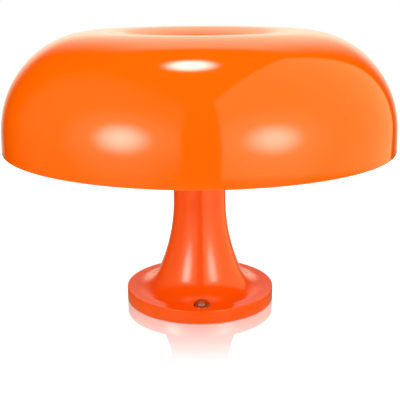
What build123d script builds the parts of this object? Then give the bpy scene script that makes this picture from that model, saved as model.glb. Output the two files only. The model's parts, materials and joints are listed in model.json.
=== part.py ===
from build123d import *
import math
import os

# Mushroom table lamp: a moulded see-through shade with a doughnut crown, held on a trumpet-shaped stem
# by a hand knob in its dish. Two upright cells in the stem feed a ring of small lights under an opal dome.
# Millimetres, +Z up. The origin is on the table, on the lamp's axis. The push button faces -Y, and the
# charging socket +Y.

# Shade skin, measured on its outer face. Radii are from the lamp's axis.
shade_rim_r = 160.0
shade_rim_z = 135.3
shade_crest_r = 82.0
shade_crest_z = 227.5
shade_skirt_angle = 1.8
shade_lip_arc = 30.0
shade_lip_angle = 12.0
shade_dish_arc = 22.0
shade_dish_angle = 50.0
shade_dish_depth = 26.0
shade_wall = 2.8
hub_r = 13.0
hub_drop = 4.0
hub_skirt = 2.0

# Stem and flange skin, measured on its outer face. Its inside follows each bend in a few straight runs.
stem_r = 22.0
stem_top_z = 150.0
flare_start_z = 88.0
flare_arc = 155.0
foot_arc = 24.0
flange_r = 63.0
flange_z = 11.7
flange_edge = 0.8
base_wall = 2.6
base_lift = 0.8
web_t = 3.2
flare_runs = 2
foot_runs = 3

# Gaps between pieces.
fit_gap = 0.3
press_gap = 0.05
slide_gap = 0.25
thread_gap = 0.05

# Bottom cover, soft foot and screws.
foot_t = 1.0
foot_ring_inset = 6.0
foot_ring_w = 10.0
plate_t = 2.0
screw_r = 1.5
screw_head_r = 2.9
screw_head_t = 1.6
screw_l = 8.0
boss_r = 3.5
boss_circle_r = 40.0
boss_angle = 55.0

# Ballast.
ballast_inner_r = 26.0
ballast_outer_r = 55.0
ballast_span = 78.0
ballast_t = 14.0
ballast_gap = 0.6

# Battery and its cradle.
cell_r = 9.2
cell_l = 65.0
cell_gap = 0.3
cell_foot_z = 24.0
tab_t = 0.3
tab_w = 7.0
sleeve_t = 0.4
sleeve_margin = 6.0
cradle_r = 19.0
cradle_t = 3.0
cradle_leg_r = 4.0
cradle_leg_x = 12.0
cradle_spine_r = 2.4
cradle_spine_y = -14.0

# Wires.
lead_r = 1.2
lead_y = 14.5
lead_bend = 5.0
lead_top_bend = 2.0
lead_gap = 0.6
battery_lead_x = 6.0
ribbon_w = 6.0
ribbon_t = 0.4

# Push button, this far in from the flange's edge, square to the surface there.
button_inset = 12.0
button_r = 6.0
button_edge = 0.4
button_crown = 1.9
button_flange_r = 7.2
button_flange_t = 0.9
button_pin_r = 2.2
button_travel = 0.6
switch_size = 6.2
switch_t = 2.0
plunger_r = 1.75
plunger_gap = 0.08
plunger_proud = 0.8
plunger_clear = 0.3
plunger_root = 0.6
board_t = 1.2
board_rest = 2.0
switch_board_w = 17.0
switch_board_front = 4.6
switch_board_back = 14.0

# Charging socket and its board.
socket_w = 8.94
socket_h = 3.26
socket_l = 7.3
socket_skin = 0.3
socket_z = 6.6
socket_recess = 0.5
tongue_w = 6.7
tongue_t = 0.7
tongue_l = 4.6
charge_board_w = 22.0
charge_board_l = 24.0
charge_board_back = 3.5
connector_w = 6.0
connector_l = 5.0
connector_h = 4.4
connector_gap = 1.0
connector_margin = 1.0
led_connector_y = 24.0
light_pipe_r = 1.0
light_pipe_x = 8.6
light_pipe_l = 5.0

# Small screws that hold the boards down.
board_screw_r = 1.0
board_screw_l = 2.0
board_screw_head_r = 1.9
board_screw_head_t = 1.3
board_screw_inset = 3.0

# Lights on top of the stem.
carrier_r = 52.0
carrier_t = 2.0
carrier_rim_t = 1.7
carrier_rim_h = 6.0
diffuser_wall = 2.0
diffuser_skirt = 14.0
diffuser_edge = 3.0
diffuser_rise = 9.0
led_board_r = 41.0
led_board_t = 1.6
led_inner_ring_r = 22.0
led_outer_ring_r = 35.0
led_inner_count = 8
led_outer_count = 16
led_w = 2.8
led_l = 3.5
led_t = 0.7
led_screw_circle_r = 28.5
led_screw_count = 3
pan_head_r = 2.8
pan_head_t = 1.8
pan_head_edge = 0.7

# Soft ring round the wire.
grommet_wall = 1.4
grommet_collar_t = 0.9

# Post that carries the shade.
post_r = 10.0
post_stud_r = 4.0
post_foot_r = 5.0
gasket_t = 1.0
nut_across = 17.0
nut_t = 5.0
post_washer_r = 9.0
post_washer_t = 1.2
post_foot_end = 1.5
post_stud_edge = 0.6

# Hand knob.
knob_r = 17.0
knob_h = 11.0
knob_flutes = 12
knob_flute_r = 3.2
knob_flute_depth = 1.3
knob_edge = 1.6
knob_relief = 1.2
knob_boss_wall = 2.0
knob_foot_w = 4.0
insert_r = 6.0
insert_l = 8.6
knob_engagement = 8.0
washer_r = 12.0
washer_t = 1.2

# Levels and places that follow from the sizes above.
skirt_lean = math.radians(shade_skirt_angle)
skirt_reach = (shade_rim_r - shade_crest_r) * math.cos(skirt_lean)
skirt_drop = (shade_crest_z - shade_rim_z) * math.sin(skirt_lean)
shade_shoulder_arc = (skirt_reach - skirt_drop) / (1 - math.sin(skirt_lean))
shoulder_z = shade_crest_z - shade_shoulder_arc
dish_floor_z = shade_crest_z - shade_dish_depth
hub_seat_z = dish_floor_z - shade_wall - hub_drop
post_top_z = hub_seat_z - gasket_t
hub_bore_r = post_stud_r + fit_gap
web_foot_z = stem_top_z - web_t
carrier_top_z = stem_top_z + carrier_t
led_board_top_z = carrier_top_z + led_board_t
plate_top_z = foot_t + plate_t
cell_x = cell_r + cell_gap / 2
cradle_floor_z = cell_foot_z - tab_t
cradle_roof_z = cell_foot_z + cell_l + tab_t
socket_foot_z = socket_z - socket_h / 2
socket_mouth_y = flange_r - socket_recess
lead_hole_r = lead_r + press_gap + grommet_wall
knob_foot_z = dish_floor_z + washer_t
button_at_r = flange_r - button_inset
plunger_top = -base_wall - fit_gap - button_flange_t - plunger_clear
switch_board_foot = plunger_top - plunger_proud - switch_t - board_t
charge_board_y = socket_mouth_y - charge_board_back - charge_board_l / 2
connector_y = charge_board_y - charge_board_l / 2 + connector_l / 2 + connector_margin
connector_mid_z = socket_foot_z + connector_h / 2
led_connector_mid_z = led_board_top_z + connector_h / 2
foot_centre_r = (
    stem_r
    + flare_arc
    - math.sqrt((flare_arc - foot_arc) ** 2 - (flare_start_z - flange_z - foot_arc) ** 2)
)


def on_circle(radius, degrees):
    """The point of the XY plane at this radius and angle."""
    turn = math.radians(degrees)
    return Vector(radius * math.cos(turn), radius * math.sin(turn))


def turned(outline):
    """The solid that a closed outline of radius and height makes in one turn about the lamp's axis."""
    return revolve(Plane.XZ * outline, Axis.Z)


def rod(radius, low, high, at=(0, 0)):
    """An upright round bar between two heights."""
    stand = (Align.CENTER, Align.CENTER, Align.MIN)
    return Pos(at) * Pos(0, 0, low) * Cylinder(radius, high - low, align=stand)


def ring(inner, outer, low, high, at=(0, 0)):
    """An upright round tube between two heights."""
    return rod(outer, low, high, at) - rod(inner, low, high, at)


def slab(width, length, low, high, at=(0, 0)):
    """A box between two heights."""
    stand = (Align.CENTER, Align.CENTER, Align.MIN)
    return Pos(at) * Pos(0, 0, low) * Box(width, length, high - low, align=stand)


def shade_skin(inset):
    """The shade's line from its rim to its hub bore, set in from the outer face by this much."""
    shoulder = Vector(shade_crest_r, shoulder_z)
    crown_end = 90 + shade_lip_angle
    dive = 90 + shade_dish_angle
    crown = CenterArc(shoulder, shade_shoulder_arc - inset, shade_skirt_angle, crown_end - shade_skirt_angle)
    skirt_l = ((crown @ 0).Y - shade_rim_z) / math.cos(skirt_lean)
    skirt_foot = (crown @ 0) + on_circle(skirt_l, shade_skirt_angle - 90)
    lip_centre = shoulder + on_circle(shade_shoulder_arc - shade_lip_arc, crown_end)
    lip = CenterArc(lip_centre, shade_lip_arc - inset, crown_end, dive - crown_end)
    lip_outer_end = lip_centre + on_circle(shade_lip_arc, dive)
    fall = math.radians(shade_dish_angle)
    slope_drop = lip_outer_end.Y - dish_floor_z - shade_dish_arc * (1 - math.cos(fall))
    slope_outer_end = lip_outer_end + on_circle(slope_drop / math.sin(fall), dive + 90)
    dish_centre = slope_outer_end + on_circle(shade_dish_arc, dive)
    dish = CenterArc(dish_centre, shade_dish_arc + inset, dive - 180, -shade_dish_angle)
    return [
        Line(skirt_foot, crown @ 0),
        crown,
        lip,
        Line(lip @ 1, dish @ 0),
        dish,
        Line(dish @ 1, Vector(hub_bore_r, (dish @ 1).Y)),
    ]


def make_shade():
    """One skin of even wall, with a hub below the dish that sits on the post and round its top."""
    outer = shade_skin(0)
    inner = shade_skin(shade_wall)
    caps = [Line(outer[0] @ 0, inner[0] @ 0), Line(outer[-1] @ 1, inner[-1] @ 1)]
    skin = turned(make_face(outer + inner + caps))
    hub = ring(hub_bore_r, hub_r, hub_seat_z, dish_floor_z - shade_wall)
    skirt = ring(post_r + fit_gap, hub_r, hub_seat_z - hub_skirt, hub_seat_z)
    return skin + hub + skirt


def stem_bends(inset):
    """The flare and the foot of the stem, set in by this much: centre, radius, first angle and sweep."""
    flare_centre = Vector(stem_r + flare_arc, flare_start_z)
    foot_centre = Vector(foot_centre_r, flange_z + foot_arc)
    spread = flare_centre - foot_centre
    sweep = math.degrees(math.atan2(spread.Y, spread.X))
    flare = (flare_centre, flare_arc + inset, 180, sweep)
    return flare, (foot_centre, foot_arc + inset, 180 + sweep, 90 - sweep)


def chords(centre, radius, first, sweep, count):
    """The corners of straight runs that touch an arc in their middles, so that they never thin the wall."""
    step = sweep / count
    reach = radius / math.cos(math.radians(step / 2))
    return [centre + on_circle(reach, first + step * (i + 0.5)) for i in range(count)]


def cavity_body(inset, low, high):
    """The room inside the stem and flange, in straight runs, this far in from the outer face."""
    flare, foot = stem_bends(inset)
    side = flange_r - inset
    points = [(0, high), (stem_r - inset, high)]
    points += chords(*flare, flare_runs) + chords(*foot, foot_runs)
    points += [(side, flange_z - inset), (side, low), (0, low)]
    return turned(make_face(Polyline(*points, close=True)))


def outer_body():
    """The stem and flange as one solid."""
    flare, foot = [CenterArc(*bend) for bend in stem_bends(0)]
    runs = [
        Line((0, stem_top_z), (stem_r, stem_top_z)),
        Line((stem_r, stem_top_z), flare @ 0),
        flare,
        foot,
        Polyline(foot @ 1, (flange_r - flange_edge, flange_z), (flange_r, flange_z - flange_edge)),
        Polyline((flange_r, flange_z - flange_edge), (flange_r, base_lift), (0, base_lift), (0, stem_top_z)),
    ]
    return turned(make_face(runs))


def boss_places():
    """Where the four screws of the bottom cover stand, clear of the button and the socket."""
    turns = [boss_angle, 180 - boss_angle, 180 + boss_angle, -boss_angle]
    return [on_circle(boss_circle_r, turn) for turn in turns]


def cradle_screw_places():
    """Where the two screws of the battery cradle stand."""
    return [Vector(-cradle_leg_x, 0), Vector(cradle_leg_x, 0)]


def button_plane():
    """The plane on the surface at the button. The flange is level outside the foot's bend."""
    lean = math.asin(max(foot_centre_r - button_at_r, 0) / foot_arc)
    height = flange_z + foot_arc * (1 - math.cos(lean))
    facing = Vector(0, -math.sin(lean), math.cos(lean))
    return Plane(origin=(0, -button_at_r, height), x_dir=(1, 0, 0), z_dir=facing)


def rounded_bar(width, height, length, mouth_y):
    """A level bar with half-round ends, as a socket has, that runs back from its mouth towards the axis."""
    mouth = Plane(origin=(0, mouth_y, socket_z), x_dir=(-1, 0, 0), z_dir=(0, 1, 0))
    return extrude(mouth * SlotOverall(width, height), -length)


def light_pipe_bar(radius, length):
    """A level round bar through the flange's wall, beside the socket."""
    mouth = Plane(origin=(light_pipe_x, flange_r, socket_z), x_dir=(-1, 0, 0), z_dir=(0, 1, 0))
    return extrude(mouth * Circle(radius), -length)


def make_base_shell():
    """Flange, flare and tube in one skin, closed at the top by a web, with bosses for the cover's screws."""
    shell = outer_body() - cavity_body(base_wall, base_lift, web_foot_z)
    mid_wall = cavity_body(base_wall / 2, plate_top_z, web_foot_z)
    for place in boss_places():
        boss = rod(boss_r, plate_top_z, flare_start_z, place)
        shell += (boss & mid_wall) - rod(screw_r + press_gap, plate_top_z, plate_top_z + screw_l, place)
    shell -= rod(post_foot_r + fit_gap, web_foot_z, stem_top_z)
    shell -= rod(lead_hole_r, web_foot_z, stem_top_z, (0, lead_y))
    shell -= button_plane() * rod(button_r + slide_gap, -2 * base_wall, 2 * base_wall)
    shell -= button_plane() * rod(button_flange_r + fit_gap, -2 * base_wall, -base_wall)
    window = [socket_w + 2 * fit_gap, socket_h + 2 * fit_gap]
    shell -= rounded_bar(*window, 2 * base_wall, flange_r + base_wall / 2)
    return shell - light_pipe_bar(light_pipe_r + press_gap, 2 * base_wall)


def countersunk_screw(at, tip_z):
    """A screw put in from below, its flat head level with the cover's underside."""
    head = Pos(at.X, at.Y, foot_t + screw_head_t / 2) * Cone(screw_head_r, screw_r, screw_head_t)
    return head + rod(screw_r, foot_t, tip_z, at)


def screw_well(at):
    """The hole that one of those screws takes in the cover."""
    mouth = screw_head_r + fit_gap
    head = Pos(at.X, at.Y, foot_t + screw_head_t / 2) * Cone(mouth, screw_r + fit_gap, screw_head_t)
    return head + rod(screw_r + fit_gap, foot_t, plate_top_z, at)


def switch_board_slab(low, high, margin=0.0):
    """A slab of the tilted switch board's outline, between two heights square to the board."""
    length = switch_board_front + switch_board_back - 2 * margin
    middle = (switch_board_back - switch_board_front) / 2
    return button_plane() * slab(switch_board_w - 2 * margin, length, low, high, (0, middle))


def charge_board_screw_places():
    """Where the two screws of the charging board stand, beside the socket's end."""
    x = charge_board_w / 2 - board_screw_inset
    return [Vector(-x, charge_board_y), Vector(x, charge_board_y)]


def switch_board_screw_places():
    """Where the two screws of the switch board stand, on the tilted board, behind the switch."""
    x = switch_board_w / 2 - board_screw_inset
    y = switch_board_back - board_screw_inset
    return [Vector(-x, y), Vector(x, y)]


def board_rods(radius, reach, rise):
    """Four rods through the boards, from this far below each board's underside to this far above it."""
    charge_foot = socket_foot_z - board_t
    rods = [rod(radius, charge_foot - reach, charge_foot + rise, at) for at in charge_board_screw_places()]
    for at in switch_board_screw_places():
        rods.append(button_plane() * rod(radius, switch_board_foot - reach, switch_board_foot + rise, at))
    return rods


def board_screw_holes():
    """The holes that the small screws take in the boards and in the cover's rests."""
    return board_rods(board_screw_r + press_gap, board_screw_l, board_t)


def make_board_screws():
    """Two small screws in each board on the cover."""
    shanks = board_rods(board_screw_r, board_screw_l, board_t)
    heads = board_rods(board_screw_head_r, -board_t, board_t + board_screw_head_t)
    return [shank + head for shank, head in zip(shanks, heads)]


def make_base_plate():
    """The bottom cover, with a wedge under the tilted switch board and a step under the charging board."""
    plate = rod(flange_r - base_wall - fit_gap, foot_t, plate_top_z)
    for place in boss_places() + cradle_screw_places():
        plate -= screw_well(place)
    inside = rod(flange_r - base_wall - fit_gap, plate_top_z, stem_top_z)
    plate += inside & switch_board_slab(-2 * flange_z, switch_board_foot, board_rest)
    step_w = charge_board_w - 2 * board_rest
    step_l = charge_board_l - 2 * board_rest
    plate += slab(step_w, step_l, plate_top_z, socket_foot_z - board_t, (0, charge_board_y))
    for screw_hole in board_screw_holes():
        plate -= screw_hole
    return plate - ribbon_bar(fit_gap)


def make_foot_ring():
    """The soft ring under the cover, the only piece that touches the table."""
    outer_r = flange_r - foot_ring_inset
    return ring(outer_r - foot_ring_w, outer_r, 0, foot_t)


def make_base_screws():
    """Four screws into the shell's bosses and two into the cradle's legs."""
    tip_z = plate_top_z + screw_l - plate_t
    return [countersunk_screw(place, tip_z) for place in boss_places() + cradle_screw_places()]


def make_ballast():
    """Two steel weights, left and right, that follow the flare's inside."""
    room = cavity_body(base_wall + ballast_gap, plate_top_z, flare_start_z)
    blank = ring(ballast_inner_r, ballast_outer_r, plate_top_z, plate_top_z + ballast_t) & room
    reach = 2 * ballast_outer_r
    weights = []
    for side in (0, 180):
        ends = [on_circle(reach, side - ballast_span / 2), on_circle(reach, side + ballast_span / 2)]
        slice_face = make_face(Polyline((0, 0), ends[0], on_circle(reach, side), ends[1], close=True))
        weights.append(blank & extrude(Pos(0, 0, plate_top_z) * slice_face, ballast_t))
    return weights


def make_cells():
    """Two cells side by side, standing in the stem."""
    return [rod(cell_r, cell_foot_z, cell_foot_z + cell_l, (x, 0)) for x in (-cell_x, cell_x)]


def make_tabs():
    """Nickel strips that join the cells at both ends."""
    top_z = cell_foot_z + cell_l
    length = 2 * cell_x + tab_w
    return [slab(length, tab_w, low, low + tab_t) for low in (cell_foot_z - tab_t, top_z)]


def make_sleeve():
    """The shrink sleeve round both cells."""
    low = cell_foot_z + sleeve_margin
    outer_r = cell_r + press_gap + sleeve_t
    inner_r = cell_r + press_gap
    band = SlotCenterToCenter(2 * cell_x, 2 * outer_r) - SlotCenterToCenter(2 * cell_x, 2 * inner_r)
    return extrude(Pos(0, 0, low) * band, cell_l - 2 * sleeve_margin)


def make_cradle():
    """A floor on two legs and a roof, joined by a spine in front of the cells."""
    floor = rod(cradle_r, cradle_floor_z - cradle_t, cradle_floor_z)
    roof = rod(cradle_r, cradle_roof_z, cradle_roof_z + cradle_t)
    spine = rod(cradle_spine_r, cradle_floor_z - cradle_t, cradle_roof_z, (0, cradle_spine_y))
    cradle = floor + roof + spine
    for place in cradle_screw_places():
        cradle += rod(cradle_leg_r, plate_top_z, cradle_floor_z, place)
        cradle -= rod(screw_r + press_gap, plate_top_z, plate_top_z + screw_l, place)
    cradle -= rod(lead_r + lead_gap, 0, cradle_floor_z, (battery_lead_x, 0))
    return cradle - rod(lead_r + lead_gap, 0, stem_top_z, (0, lead_y))


def wire(points, bends, radius):
    """A round wire along straight runs joined by arcs."""
    path = FilletPolyline(*points, radius=bends)
    return sweep(Plane(origin=path @ 0, z_dir=path % 0) * Circle(radius), path=path)


def make_led_lead():
    """From the charging board up the back of the stem to the light board."""
    points = [
        (0, connector_y - connector_l / 2, connector_mid_z),
        (0, lead_y, connector_mid_z),
        (0, lead_y, led_connector_mid_z),
        (0, led_connector_y - connector_l / 2, led_connector_mid_z),
    ]
    return wire(points, [lead_bend, lead_top_bend], lead_r)


def make_battery_lead():
    """From the charging board up to the cells' lower strips."""
    points = [
        (battery_lead_x, connector_y - connector_l / 2, connector_mid_z),
        (battery_lead_x, 0, connector_mid_z),
        (battery_lead_x, 0, cradle_floor_z),
    ]
    return wire(points, [lead_bend], lead_r)


def ribbon_bar(gap):
    """The room of the flat ribbon cable on the cover, between the cradle's legs, with a gap round it."""
    front_y = -button_at_r + switch_board_back
    back_y = charge_board_y - charge_board_l / 2
    length = back_y - front_y + 2 * gap
    middle = (0, (front_y + back_y) / 2)
    return slab(ribbon_w + 2 * gap, length, plate_top_z, plate_top_z + ribbon_t + gap, middle)


def pan_screw(at, foot_z, seat_z):
    """A small screw with a round head, its head standing on seat_z."""
    head = rod(pan_head_r, seat_z, seat_z + pan_head_t, at)
    head = chamfer(head.edges().sort_by(Axis.Z)[-1], pan_head_edge)
    return head + rod(screw_r, foot_z, seat_z, at)


def make_light_carrier():
    """A turned dish on top of the stem, with a rim that holds the opal dome."""
    top_z = stem_top_z + carrier_rim_h
    carrier = rod(carrier_r, stem_top_z, top_z) - rod(carrier_r - carrier_rim_t, carrier_top_z, top_z)
    carrier -= rod(post_foot_r + fit_gap, stem_top_z, carrier_top_z)
    carrier -= rod(lead_hole_r, stem_top_z, carrier_top_z, (0, lead_y))
    for place in led_screw_places():
        carrier -= rod(screw_r + press_gap, stem_top_z, carrier_top_z, place)
    return carrier


def led_screw_places():
    """Where the screws of the light board stand."""
    turns = [-90 + 360 * i / led_screw_count for i in range(led_screw_count)]
    return [on_circle(led_screw_circle_r, turn) for turn in turns]


def make_led_board():
    """A ring-shaped board round the post, with holes for its screws and its wire."""
    board = ring(post_r + fit_gap, led_board_r, carrier_top_z, led_board_top_z)
    board -= rod(lead_hole_r, carrier_top_z, led_board_top_z, (0, lead_y))
    for place in led_screw_places():
        board -= rod(screw_r + press_gap, carrier_top_z, led_board_top_z, place)
    return board


def make_led_chips():
    """Two rings of small lights."""
    chips = []
    for radius, count in ((led_inner_ring_r, led_inner_count), (led_outer_ring_r, led_outer_count)):
        for i in range(count):
            turn = 360 * (i + 0.5) / count
            chip = slab(led_w, led_l, led_board_top_z, led_board_top_z + led_t)
            chips.append(Rot(0, 0, turn) * Pos(radius, 0, 0) * chip)
    return chips


def make_diffuser():
    """An opal drum with a bevelled edge and a sloping roof, with a hole in its crown for the post."""
    outer_r = carrier_r - carrier_rim_t - fit_gap
    hole_r = post_r + fit_gap
    edge_z = carrier_top_z + diffuser_skirt
    crown_z = edge_z + diffuser_rise
    line = Polyline(
        (outer_r, carrier_top_z),
        (outer_r, edge_z - diffuser_edge),
        (outer_r - diffuser_edge, edge_z),
        (hole_r, crown_z),
    )
    skin = turned(make_face(offset(line, diffuser_wall, kind=Kind.INTERSECTION, side=Side.LEFT)))
    return skin - rod(hole_r, carrier_top_z, crown_z)


def make_seat_post():
    """A turned column with a threaded foot below and the shade's stud above."""
    foot_z = web_foot_z - post_washer_t - nut_t - post_foot_end
    stud_z = knob_foot_z + knob_engagement
    post = rod(post_r, carrier_top_z, post_top_z)
    post += rod(post_foot_r, foot_z, carrier_top_z)
    post += rod(post_stud_r, post_top_z, stud_z)
    return chamfer(post.edges().sort_by(Axis.Z)[-1], post_stud_edge)


def make_post_nut():
    """The nut under the stem's web."""
    high = web_foot_z - post_washer_t
    blank = extrude(Pos(0, 0, high - nut_t) * RegularPolygon(nut_across / 2, 6, major_radius=False), nut_t)
    return blank - rod(post_foot_r + thread_gap, high - nut_t, high)


def make_knob():
    """A fluted hand knob with a domed top, hollow below for its washer's edge and its brass insert."""
    top_z = knob_foot_z + knob_h
    knob = rod(knob_r, knob_foot_z, top_z)
    cutter_at = knob_r + knob_flute_r - knob_flute_depth
    for i in range(knob_flutes):
        knob -= rod(knob_flute_r, knob_foot_z, top_z, on_circle(cutter_at, 360 * (i + 0.5) / knob_flutes))
    knob = chamfer(knob.faces().sort_by(Axis.Z)[-1].edges(), knob_edge)
    knob -= ring(insert_r + knob_boss_wall, knob_r - knob_foot_w, knob_foot_z, knob_foot_z + knob_relief)
    return knob - rod(insert_r + press_gap, knob_foot_z, knob_foot_z + insert_l)


def make_knob_insert():
    """The brass insert that takes the stud's thread."""
    return ring(post_stud_r + thread_gap, insert_r, knob_foot_z, knob_foot_z + insert_l)


def make_button_cap():
    """A domed cap with a skirt through the flange, a flange that keeps it in, and a pin on the switch."""
    sag = button_crown - button_edge
    dome_r = (button_r**2 + sag**2) / (2 * sag)
    dome = Pos(0, 0, button_crown - dome_r) * Sphere(dome_r)
    keeper_top = -base_wall - fit_gap
    cap = (rod(button_r, keeper_top, button_crown) & dome) + rod(
        button_flange_r, keeper_top - button_flange_t, keeper_top
    )
    cap += rod(button_pin_r, plunger_top, keeper_top)
    return button_plane() * cap


def make_switch_plunger():
    """The switch's moving pin."""
    return button_plane() * rod(plunger_r, plunger_top - plunger_proud - plunger_root, plunger_top)


def make_switch_body():
    """The switch, square to the button, on its board."""
    body = slab(switch_size, switch_size, switch_board_foot + board_t, plunger_top - plunger_proud)
    well = plunger_top - plunger_proud - plunger_root - button_travel - fit_gap
    body -= rod(plunger_r + plunger_gap, well, plunger_top)
    return button_plane() * body


def make_usb_socket():
    """The charging socket's steel shell, open at the back of the lamp."""
    outer = rounded_bar(socket_w, socket_h, socket_l, socket_mouth_y)
    bore_l = socket_l - 2 * socket_skin
    return outer - rounded_bar(socket_w - 2 * socket_skin, socket_h - 2 * socket_skin, bore_l, socket_mouth_y)


def make_usb_tongue():
    """The contact tongue in the socket's middle."""
    low = socket_z - tongue_t / 2
    back_y = socket_mouth_y - socket_l + 2 * socket_skin
    return slab(tongue_w, tongue_l, low, low + tongue_t, (0, back_y + tongue_l / 2))


def make_light_pipe():
    """The clear pin beside the socket, level with the flange's side, that shows that the lamp is charging."""
    return light_pipe_bar(light_pipe_r, light_pipe_l) & outer_body()


def make_charge_board():
    """The board under the charging socket."""
    board = slab(charge_board_w, charge_board_l, socket_foot_z - board_t, socket_foot_z, (0, charge_board_y))
    for screw_hole in board_screw_holes():
        board -= screw_hole
    return board


def make_switch_board():
    """The tilted board under the push button's switch."""
    board = switch_board_slab(switch_board_foot, switch_board_foot + board_t)
    for screw_hole in board_screw_holes():
        board -= screw_hole
    return board


def connector(x, y, low):
    """A small wire connector on a board."""
    return slab(connector_w, connector_l, low, low + connector_h, (x, y))


def make_connectors():
    """Two wire connectors on the charging board and one on the light board."""
    return [
        connector(0, connector_y, socket_foot_z),
        connector(connector_w + connector_gap, connector_y, socket_foot_z),
        connector(0, led_connector_y, led_board_top_z),
    ]


def make_grommet():
    """A soft ring with two collars, in the hole where the wire leaves the stem."""
    low = web_foot_z - grommet_collar_t
    sleeve = rod(lead_hole_r - press_gap, low, led_board_top_z, (0, lead_y))
    collar = rod(lead_hole_r + grommet_collar_t, low, low + grommet_collar_t, (0, lead_y))
    return sleeve + collar - rod(lead_r + press_gap, low, led_board_top_z, (0, lead_y))


def save(shape, name):
    """Writes one piece, or one group of like pieces, under the name of its node."""
    group = Compound(children=list(shape)) if isinstance(shape, list) else shape
    export_step(group, f"parts/{name}.step")


os.makedirs("parts", exist_ok=True)
save(make_shade(), "shade")
save(make_base_shell(), "base_shell")
save(make_base_plate(), "base_plate")
save(make_foot_ring(), "foot_ring")
save(make_base_screws(), "base_screws")
save(make_ballast(), "ballast_weights")
save(make_cells(), "battery_cells")
save(make_tabs(), "battery_tabs")
save(make_sleeve(), "battery_sleeve")
save(make_cradle(), "battery_cradle")
save(make_led_lead(), "led_lead")
save(make_battery_lead(), "battery_lead")
save(ribbon_bar(0), "switch_ribbon")
save(make_grommet(), "lead_grommet")
save(make_light_carrier(), "light_carrier")
save(make_led_board(), "led_board")
save(make_led_chips(), "led_chips")
save([pan_screw(at, stem_top_z, led_board_top_z) for at in led_screw_places()], "led_board_screws")
save(make_diffuser(), "diffuser")
save(make_seat_post(), "seat_post")
save(make_post_nut(), "post_nut")
save(ring(post_foot_r + fit_gap, post_washer_r, web_foot_z - post_washer_t, web_foot_z), "post_washer")
save(make_knob(), "knob")
save(make_knob_insert(), "knob_insert")
save(ring(hub_bore_r, washer_r, dish_floor_z, knob_foot_z), "knob_washer")
save(ring(hub_bore_r, post_r, post_top_z, hub_seat_z), "seat_gasket")
save(make_button_cap(), "button_cap")
save(make_switch_plunger(), "switch_plunger")
save(make_switch_body(), "switch_body")
save(make_switch_board(), "switch_board")
save(make_usb_socket(), "usb_socket")
save(make_usb_tongue(), "usb_tongue")
save(make_light_pipe(), "charge_light_pipe")
save(make_charge_board(), "charge_board")
save(make_board_screws(), "board_screws")
save(make_connectors(), "board_connectors")
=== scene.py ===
# %% [markdown]
# # A mushroom table lamp
#
# The lamp is a wide orange shade with a doughnut crown, on a trumpet-shaped stem with a round flange and a
# small chromed push button. The frame that is loaded first holds every solid of the lamp, in metres, with
# its joints. This lesson gives the lamp its looks. The large mouldings are drawn again with rounded edges
# and a fine turn, and every piece gets the finish of the real one.

# %% Load the solids that everything is fitted to
import json
import math

import bmesh
import bpy
from mathutils import Matrix, Vector


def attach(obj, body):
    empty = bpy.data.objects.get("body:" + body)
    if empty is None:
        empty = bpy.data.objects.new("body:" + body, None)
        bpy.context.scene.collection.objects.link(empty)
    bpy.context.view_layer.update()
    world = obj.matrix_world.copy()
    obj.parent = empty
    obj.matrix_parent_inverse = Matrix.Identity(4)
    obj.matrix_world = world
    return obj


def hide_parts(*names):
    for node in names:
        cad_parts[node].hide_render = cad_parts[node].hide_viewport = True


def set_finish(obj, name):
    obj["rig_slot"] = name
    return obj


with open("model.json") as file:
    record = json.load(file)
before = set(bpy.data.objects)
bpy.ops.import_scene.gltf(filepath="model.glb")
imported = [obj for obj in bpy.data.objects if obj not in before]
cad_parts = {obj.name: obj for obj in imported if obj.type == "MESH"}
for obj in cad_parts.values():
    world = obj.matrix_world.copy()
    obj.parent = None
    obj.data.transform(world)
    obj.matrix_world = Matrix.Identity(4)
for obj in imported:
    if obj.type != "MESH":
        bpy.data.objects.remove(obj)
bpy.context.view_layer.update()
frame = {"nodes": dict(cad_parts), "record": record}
MM = 0.001

# %% [markdown]
# ## Camera
#
# The photograph was taken from a little above the shade, about two lamp widths away. The lens and the tilt
# come from the ellipses of the rim and the flange: a longer lens from further off would make the two look
# alike, and here the lower one is clearly rounder. The lamp leans a quarter of a degree, so the camera is
# rolled by that, and its button is a little right of the middle, so the camera stands a little round to the
# left.

# %% Place the camera
camera_distance = 632.1
camera_height = 256.2
camera_side = 0.3
camera_tilt = 15.04
camera_roll = -0.25
camera_turn = 1.5
focal_length, sensor_width = 69.35, 36.0

lens = bpy.data.cameras.new("camera")
lens.lens = focal_length
lens.sensor_width = sensor_width
camera = bpy.data.objects.new("camera", lens)
bpy.context.scene.collection.objects.link(camera)
turned = Matrix.Rotation(math.radians(-camera_turn), 4, "Z")
tilted = Matrix.Rotation(math.radians(90 - camera_tilt), 4, "X")
rolled = Matrix.Rotation(math.radians(camera_roll), 4, "Z")
camera.location = turned @ Vector((camera_side, -camera_distance, camera_height)) * MM
camera.rotation_euler = (turned @ tilted @ rolled).to_euler()
bpy.context.scene.camera = camera
bpy.context.scene.view_settings.view_transform = "Standard"
print("camera at", [round(value, 3) for value in camera.location])

# %% [markdown]
# ## Nodes and colours
#
# Materials and the studio are made of nodes. One helper adds a node, sets it, and links or fills its
# inputs, so that a recipe reads from top to bottom. Colours are written the way a paint chart gives them,
# as sRGB hex, and shaders want linear light, so one function turns the first into the second.


# %% Helpers for nodes and colours
def linear(hex_colour):
    """An sRGB hex colour as the linear colour that shaders work in."""
    parts = [int(hex_colour[i : i + 2], 16) / 255 for i in (1, 3, 5)]
    return (*[p / 12.92 if p <= 0.04045 else ((p + 0.055) / 1.055) ** 2.4 for p in parts], 1.0)


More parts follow.
